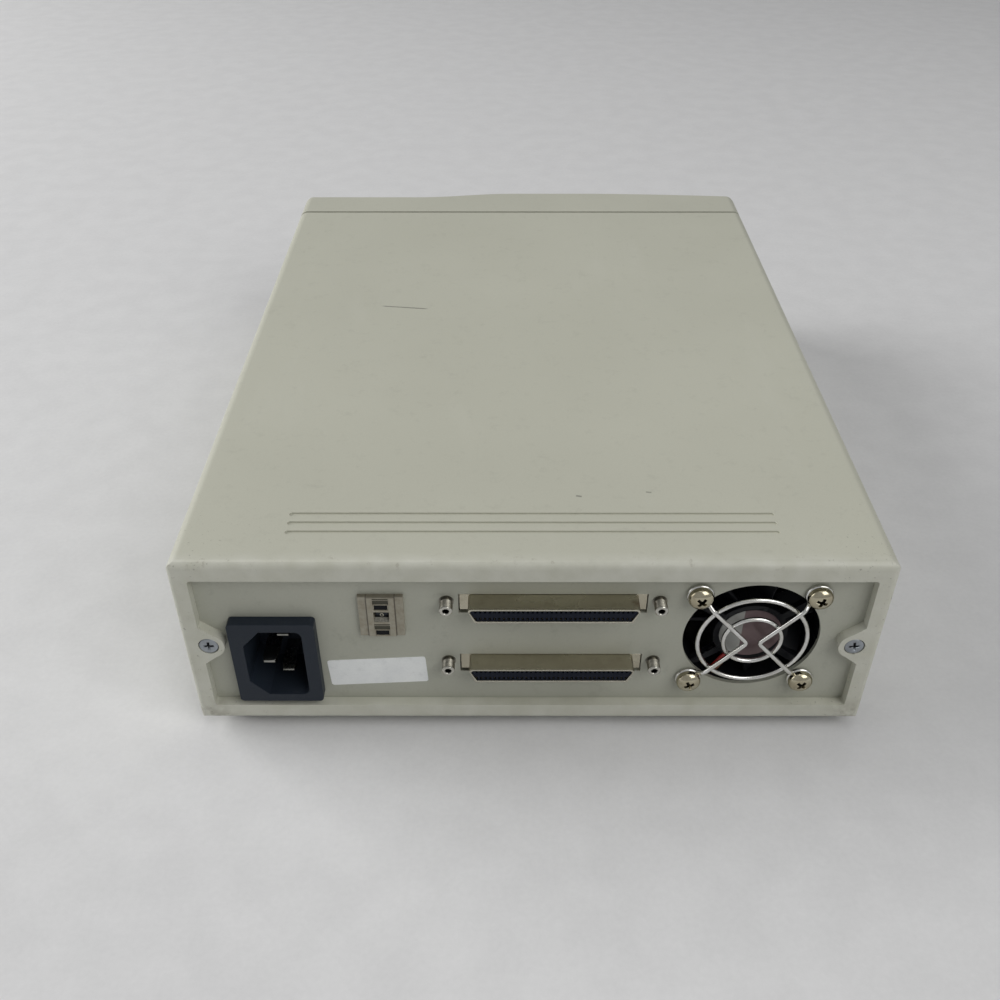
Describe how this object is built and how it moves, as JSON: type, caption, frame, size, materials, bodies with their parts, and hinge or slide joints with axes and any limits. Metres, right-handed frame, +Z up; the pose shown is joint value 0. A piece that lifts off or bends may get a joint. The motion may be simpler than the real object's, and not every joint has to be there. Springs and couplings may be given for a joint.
{
  "type": "external tape drive",
  "caption": "External tape drive: plastic case with a bowed bezel, recessed rear panel with mains inlet, number switch, data ports and fan, and a cassette mechanism inside.",
  "frame": {"origin": "middle of the underside of the feet, centred on the bounding box in X and Y", "axes": "+X to the right seen from the front, +Y from the front bezel to the rear panel, +Z up"},
  "size_m": [0.193, 0.262, 0.064],
  "materials": {
    "plastic_beige": "fine-textured moulded plastic",
    "panel_paint": "satin grey-beige paint",
    "zinc_steel": "zinc-plated sheet steel",
    "bright_steel": "bright zinc plate",
    "nickel": "nickel plate",
    "black_rubber": "matt",
    "white_paper": "matt paper",
    "navy_plastic": "satin moulded plastic",
    "black_plastic": "satin moulded plastic",
    "greige_plastic": "satin moulded plastic",
    "grey_plastic": "satin moulded plastic",
    "ivory_plastic": "satin moulded plastic",
    "lead_brown": "insulated wire",
    "lead_red": "insulated wire",
    "lead_yellow": "insulated wire",
    "lead_grey": "insulated wire",
    "board_green": "solder mask",
    "board_tan": "phenolic board",
    "can_blue": "sleeved capacitor",
    "tape_yellow": "wound with tape",
    "aluminium": "machined",
    "lamp_green": "clear tinted plastic",
    "cast_drive": "stamped"
  },
  "bodies": {
    "case": {"case_sleeve": "plastic_beige", "front_bezel": "plastic_beige", "base_chassis": "zinc_steel", "rear_panel": "panel_paint", "rubber_feet": "black_rubber", "case_screws": "bright_steel", "bezel_screws": "bright_steel", "rating_label": "white_paper", "inlet_body": "navy_plastic", "inlet_blades": "bright_steel", "mains_leads": "lead_brown", "id_switch_body": "greige_plastic", "connector_shells": "nickel", "connector_inserts": "navy_plastic", "jackscrews": "nickel", "connector_board": "board_green", "ribbon_cable": "lead_grey", "fan_frame": "black_plastic", "fan_label": "aluminium", "fan_guard": "bright_steel", "fan_screws": "nickel", "fan_leads": "lead_red", "psu_board": "board_tan", "psu_screws": "bright_steel", "psu_transformer": "tape_yellow", "psu_capacitors": "can_blue", "psu_heatsinks": "aluminium", "psu_terminals": "ivory_plastic", "drive_leads": "lead_yellow", "power_switch_body": "black_plastic", "power_lamp": "lamp_green", "switch_leads": "lead_grey", "drive_rails": "zinc_steel", "drive_screws": "bright_steel", "drive_frame": "cast_drive", "drive_lid": "zinc_steel", "drive_front": "plastic_beige", "drive_lamps": "lamp_green", "main_board": "board_green", "drum_base": "aluminium", "mode_motor": "zinc_steel"},
    "fan_wheel": {"fan_rotor": "black_plastic"},
    "number_wheel": {"id_wheel": "grey_plastic"},
    "number_up": {"id_button_up": "black_plastic"},
    "number_down": {"id_button_down": "black_plastic"},
    "power_key": {"power_button": "grey_plastic"},
    "eject_key": {"eject_button": "grey_plastic"},
    "door": {"cassette_door": "plastic_beige"},
    "upper_drum": {"head_drum": "aluminium"},
    "capstan_shaft": {"capstan": "bright_steel"},
    "supply_reel": {"supply_reel_table": "ivory_plastic"},
    "takeup_reel": {"takeup_reel_table": "ivory_plastic"},
    "pinch_lever": {"pinch_arm": "zinc_steel"},
    "pinch_wheel": {"pinch_roller": "black_rubber"},
    "loading_slide": {"cassette_slide": "zinc_steel"},
    "loading_holder": {"cassette_holder": "zinc_steel"},
    "mode_wheel": {"mode_gear": "ivory_plastic"},
    "pinion": {"motor_pinion": "ivory_plastic"},
    "left_guide": {"left_tape_guide": "aluminium"},
    "right_guide": {"right_tape_guide": "aluminium"}
  },
  "joints": [
    {"name": "fan_spin", "type": "hinge", "parent": "case", "child": "fan_wheel", "pos_m": [-0.0612, 0.11768, 0.035], "axis": [0, 1, 0], "continuous": true},
    {"name": "number_wheel_turn", "type": "hinge", "parent": "case", "child": "number_wheel", "pos_m": [0.04105, 0.12019, 0.04413], "axis": [1, 0, 0], "continuous": true},
    {"name": "number_up_press", "type": "slide", "parent": "case", "child": "number_up", "axis": [0, -1, 0], "range_m": [0, 0.0008], "stiffness_N_per_m": 300, "springref_m": -0.0003},
    {"name": "number_down_press", "type": "slide", "parent": "case", "child": "number_down", "axis": [0, -1, 0], "range_m": [0, 0.0008], "stiffness_N_per_m": 300, "springref_m": -0.0003},
    {"name": "power_press", "type": "slide", "parent": "case", "child": "power_key", "axis": [0, 1, 0], "range_m": [0, 0.003], "stiffness_N_per_m": 250, "springref_m": -0.0005},
    {"name": "eject_press", "type": "slide", "parent": "case", "child": "eject_key", "axis": [0, 1, 0], "range_m": [0, 0.001], "stiffness_N_per_m": 300, "springref_m": -0.0005},
    {"name": "door_swing", "type": "hinge", "parent": "case", "child": "door", "pos_m": [-0.028, -0.12354, 0.0518], "axis": [1, 0, 0], "range_deg": [0, 80], "stiffness_Nm_per_rad": 0.004, "springref_deg": -11.46},
    {"name": "drum_spin", "type": "hinge", "parent": "case", "child": "upper_drum", "pos_m": [-0.028, -0.03304, 0.02785], "axis": [0, 0.0872, 0.9962], "continuous": true},
    {"name": "capstan_spin", "type": "hinge", "parent": "case", "child": "capstan_shaft", "pos_m": [-0.004, -0.05004, 0.02935], "axis": [0, 0, 1], "continuous": true},
    {"name": "supply_reel_spin", "type": "hinge", "parent": "case", "child": "supply_reel", "pos_m": [-0.043, -0.07803, 0.02935], "axis": [0, 0, 1], "continuous": true},
    {"name": "takeup_reel_spin", "type": "hinge", "parent": "case", "child": "takeup_reel", "pos_m": [-0.013, -0.07803, 0.02935], "axis": [0, 0, 1], "continuous": true},
    {"name": "mode_turn", "type": "hinge", "parent": "case", "child": "mode_wheel", "pos_m": [0.001, -0.01453, 0.02935], "axis": [0, 0, 1], "range_deg": [0, 150]},
    {"name": "pinion_turn", "type": "hinge", "parent": "case", "child": "pinion", "pos_m": [0.001, 0.00297, 0.02935], "axis": [0, 0, 1], "range_deg": [-390, 5]},
    {"name": "pinch_swing", "type": "hinge", "parent": "case", "child": "pinch_lever", "pos_m": [0.01, -0.03803, 0.03135], "axis": [0, 0, 1], "range_deg": [-29, 0]},
    {"name": "pinch_roller_spin", "type": "hinge", "parent": "pinch_lever", "child": "pinch_wheel", "pos_m": [0.00532, -0.0507, 0.03535], "axis": [0, 0, 1], "continuous": true},
    {"name": "loading_in", "type": "slide", "parent": "case", "child": "loading_slide", "axis": [0, 1, 0], "range_m": [0, 0.014]},
    {"name": "loading_down", "type": "slide", "parent": "loading_slide", "child": "loading_holder", "axis": [0, 0, -1], "range_m": [0, 0.0085]},
    {"name": "left_guide_run", "type": "slide", "parent": "case", "child": "left_guide", "axis": [-0.3162, 0.9487, 0], "range_m": [0, 0.022]},
    {"name": "right_guide_run", "type": "slide", "parent": "case", "child": "right_guide", "axis": [0.3162, 0.9487, 0], "range_m": [0, 0.022]}
  ],
  "couplings": [
    {"joint": "pinion_turn", "follows": "mode_turn", "ratio": -2.5714},
    {"joint": "left_guide_run", "follows": "mode_turn", "m_per_rad": 0.0083652},
    {"joint": "right_guide_run", "follows": "mode_turn", "m_per_rad": 0.0083652},
    {"joint": "pinch_swing", "follows": "mode_turn", "ratio": -0.19267}
  ]
}
